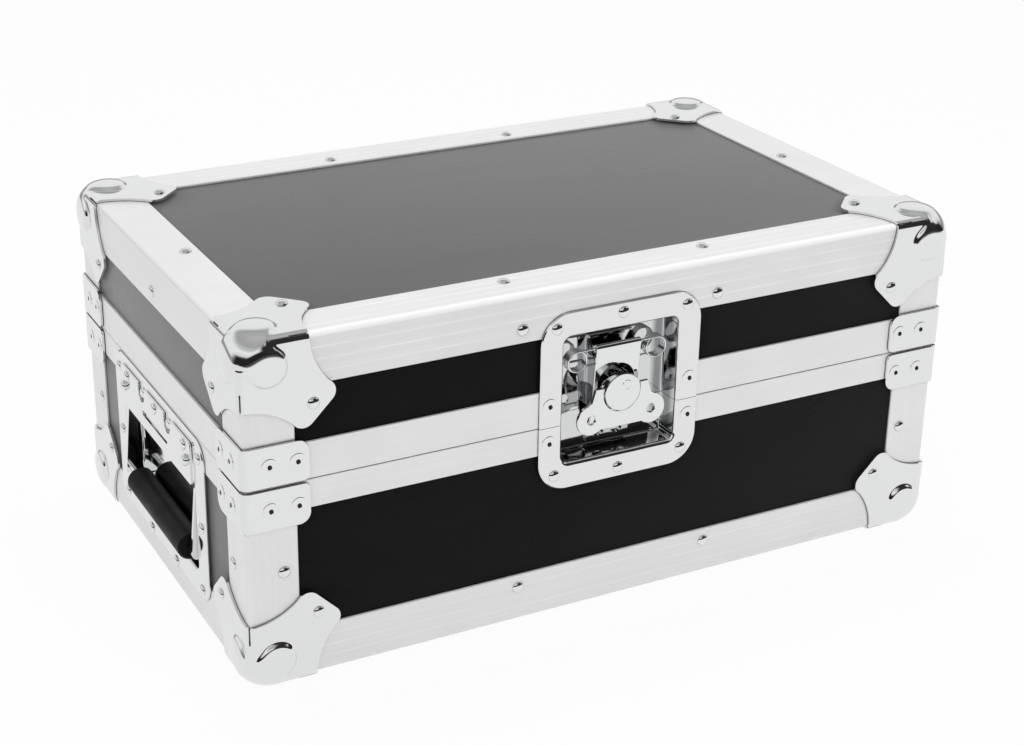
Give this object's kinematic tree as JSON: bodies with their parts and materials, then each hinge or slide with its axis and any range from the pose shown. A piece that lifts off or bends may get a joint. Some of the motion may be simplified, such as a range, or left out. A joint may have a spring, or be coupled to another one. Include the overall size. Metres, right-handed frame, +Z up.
{
  "type": "cd player flight case",
  "caption": "Foam-lined plywood flight case for a tabletop CD player, with aluminium edging, ball corners, a recessed butterfly latch, sprung handles and a hinged lid.",
  "frame": {"origin": "under the middle of the bounding box, on the surface that the lower ball corners stand on", "axes": "+X along the length, to the right of someone facing the latch; the latch faces -Y; +Z up"},
  "size_m": [0.483, 0.2985, 0.217],
  "materials": {
    "aluminium": "drawn, satin anodised",
    "chrome": "pressed steel, bright chrome plated",
    "laminate": "plywood faced with black satin laminate",
    "zinc": "steel, bright zinc plated",
    "rubber": "black moulded rubber",
    "foam": "charcoal polyurethane foam"
  },
  "bodies": {
    "base": {"base_floor_panel": "laminate", "base_front_panel": "laminate", "base_back_panel": "laminate", "base_left_panel": "laminate", "base_right_panel": "laminate", "base_front_edge": "aluminium", "base_back_edge": "aluminium", "base_left_edge": "aluminium", "base_right_edge": "aluminium", "base_closing_frame": "aluminium", "base_front_left_post": "aluminium", "base_front_right_post": "aluminium", "base_back_left_post": "aluminium", "base_back_right_post": "aluminium", "base_front_left_corner": "chrome", "base_front_right_corner": "chrome", "base_back_left_corner": "chrome", "base_back_right_corner": "chrome", "base_front_left_bracket": "chrome", "base_front_right_bracket": "chrome", "base_back_left_bracket": "chrome", "base_back_right_bracket": "chrome", "latch_base_dish": "chrome", "left_handle_dish": "chrome", "right_handle_dish": "chrome", "left_handle_cover": "chrome", "right_handle_cover": "chrome", "left_hinge_base_leaf": "zinc", "right_hinge_base_leaf": "zinc", "base_foam": "foam"},
    "lid": {"lid_top_panel": "laminate", "lid_front_panel": "laminate", "lid_back_panel": "laminate", "lid_left_panel": "laminate", "lid_right_panel": "laminate", "lid_front_edge": "aluminium", "lid_back_edge": "aluminium", "lid_left_edge": "aluminium", "lid_right_edge": "aluminium", "lid_closing_frame": "aluminium", "lid_front_left_corner": "chrome", "lid_front_right_corner": "chrome", "lid_back_left_corner": "chrome", "lid_back_right_corner": "chrome", "lid_front_left_bracket": "chrome", "lid_front_right_bracket": "chrome", "lid_back_left_bracket": "chrome", "lid_back_right_bracket": "chrome", "latch_lid_dish": "chrome", "left_hinge_lid_leaf": "zinc", "right_hinge_lid_leaf": "zinc", "lid_foam": "foam"},
    "left_handle": {"left_handle_bail": "chrome", "left_handle_grip": "rubber"},
    "right_handle": {"right_handle_bail": "chrome", "right_handle_grip": "rubber"},
    "latch_key": {"latch_drum": "chrome"},
    "latch_wing": {"latch_wing": "chrome"},
    "latch_hook": {"latch_hook_plate": "chrome", "latch_spring": "zinc"}
  },
  "joints": [
    {"name": "lid_hinge", "type": "hinge", "parent": "base", "child": "lid", "pos_m": [0, 0.1464, 0.1271], "axis": [-1, 0, 0], "range_deg": [0, 100]},
    {"name": "left_handle_swing", "type": "hinge", "parent": "base", "child": "left_handle", "pos_m": [-0.2294, -0.0008, 0.09], "axis": [0, 1, 0], "range_deg": [0, 84], "stiffness_Nm_per_rad": 0.4, "springref_deg": -17.19},
    {"name": "right_handle_swing", "type": "hinge", "parent": "base", "child": "right_handle", "pos_m": [0.2294, -0.0008, 0.09], "axis": [0, -1, 0], "range_deg": [0, 84], "stiffness_Nm_per_rad": 0.4, "springref_deg": -17.19},
    {"name": "latch_turn", "type": "hinge", "parent": "lid", "child": "latch_key", "pos_m": [0, -0.1448, 0.1415], "axis": [0, -1, 0], "range_deg": [0, 180]},
    {"name": "latch_wing_fold", "type": "hinge", "parent": "latch_key", "child": "latch_wing", "pos_m": [0, -0.147, 0.1415], "axis": [-1, 0, 0], "range_deg": [0, 90]},
    {"name": "latch_hook_slide", "type": "slide", "parent": "lid", "child": "latch_hook", "axis": [0, 0, -1], "range_m": [0, 0.003], "deforming": ["latch_spring"]}
  ],
  "couplings": [
    {"joint": "latch_hook_slide", "follows": "latch_turn", "m_per_rad": 0.00095493}
  ]
}
